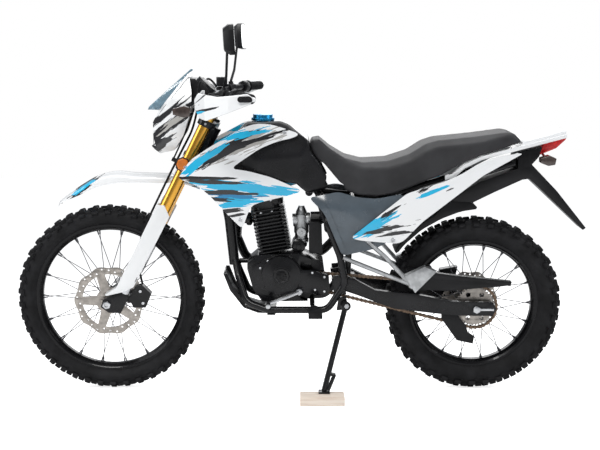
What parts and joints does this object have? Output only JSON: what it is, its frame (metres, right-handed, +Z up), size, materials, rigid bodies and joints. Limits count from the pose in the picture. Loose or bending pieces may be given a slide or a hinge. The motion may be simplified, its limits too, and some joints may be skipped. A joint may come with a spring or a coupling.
{
  "type": "dual sport motorcycle",
  "caption": "Dual sport motorcycle with spoked wheels, long-travel fork, high fender, hand guards and rear rack, parked on its side stand on a wooden block.",
  "frame": {"origin": "middle of the bounding box's footprint, on the ground under the tyres and the wooden block", "axes": "+X forward, towards the front wheel; +Y to the rider's left; +Z up. The machine leans 6.5 degrees to its left"},
  "size_m": [2.098, 0.8592, 1.3878],
  "materials": {
    "black_tyre_rubber": "knobbly black rubber",
    "black_rim": "gloss black anodised",
    "bright_steel": "plain bright steel",
    "brake_steel": "ground steel with a bronze tint",
    "chain_steel": "oiled dark steel",
    "black_metal": "satin black paint",
    "gold_anodised": "gold anodised",
    "white_plastic": "gloss white moulding",
    "black_plastic": "black moulding",
    "grey_plastic": "dark grey moulding",
    "black_rubber": "black rubber",
    "lamp_glass": "clear lamp glass",
    "clear_plastic": "clear blue-grey screen",
    "amber_lens": "amber lens",
    "red_lens": "red lens",
    "cast_aluminium": "plain cast aluminium",
    "blue_aluminium": "blue anodised",
    "seat_cover": "dark grey grained cover",
    "bare_wood": "bare sawn softwood"
  },
  "bodies": {
    "chassis": {"air_box": "black_plastic", "bash_plate": "black_metal", "carburettor": "cast_aluminium", "chain": "chain_steel", "chain_guards": "black_plastic", "crankcase": "black_metal", "cylinder": "black_metal", "exhaust": "black_metal", "foot_levers": "bright_steel", "foot_pegs": "black_metal", "frame": "black_metal", "fuel_cap": "blue_aluminium", "fuel_tank": "black_plastic", "passenger_pegs": "cast_aluminium", "pivot_pin": "bright_steel", "rear_axle": "bright_steel", "rear_caliper": "black_metal", "rear_fender": "black_plastic", "rear_indicators": "amber_lens", "rear_rack": "white_plastic", "rear_shock": "bright_steel", "seat": "seat_cover", "side_panels": "grey_plastic", "stand_block": "bare_wood", "swingarm": "black_metal", "tail_light": "red_lens", "tail_panels": "white_plastic", "tank_shrouds": "white_plastic"},
    "steering": {"bar_controls": "black_metal", "brake_hoses": "black_rubber", "control_cables": "black_rubber", "fork_guards": "white_plastic", "fork_lugs": "black_metal", "fork_stanchions": "bright_steel", "fork_tubes": "gold_anodised", "front_caliper": "black_metal", "front_fender": "white_plastic", "front_indicators": "amber_lens", "grips": "black_rubber", "hand_guards": "white_plastic", "handlebar": "black_metal", "headlight": "lamp_glass", "headlight_mask": "white_plastic", "instrument_pod": "black_plastic", "mirrors": "black_plastic", "triple_clamps": "black_metal", "windscreen": "clear_plastic"},
    "front_wheel": {"front_disc": "brake_steel", "front_hub": "black_metal", "front_rim": "black_rim", "front_spokes": "bright_steel", "front_tyre": "black_tyre_rubber"},
    "rear_wheel": {"rear_disc": "brake_steel", "rear_hub": "black_metal", "rear_rim": "black_rim", "rear_spokes": "bright_steel", "rear_sprocket": "brake_steel", "rear_tyre": "black_tyre_rubber"},
    "stand": {"side_stand": "black_metal"}
  },
  "joints": [
    {"name": "steering_head", "type": "hinge", "parent": "chassis", "child": "steering", "pos_m": [0.30462, -0.01203, 1.0021], "axis": [-0.4462, 0.1013, 0.8892], "range_deg": [-40, 40]},
    {"name": "front_axle", "type": "hinge", "parent": "steering", "child": "front_wheel", "pos_m": [0.701, -0.08655, 0.34803], "axis": [0, 0.9936, -0.1132], "continuous": true},
    {"name": "rear_axle", "type": "hinge", "parent": "chassis", "child": "rear_wheel", "pos_m": [-0.647, -0.08893, 0.32716], "axis": [0, 0.9936, -0.1132], "continuous": true},
    {"name": "side_stand_pivot", "type": "hinge", "parent": "chassis", "child": "stand", "pos_m": [-0.167, 0.05564, 0.33283], "axis": [-0.1741, 0.9847, 0.0081], "range_deg": [0, 104.3]}
  ]
}
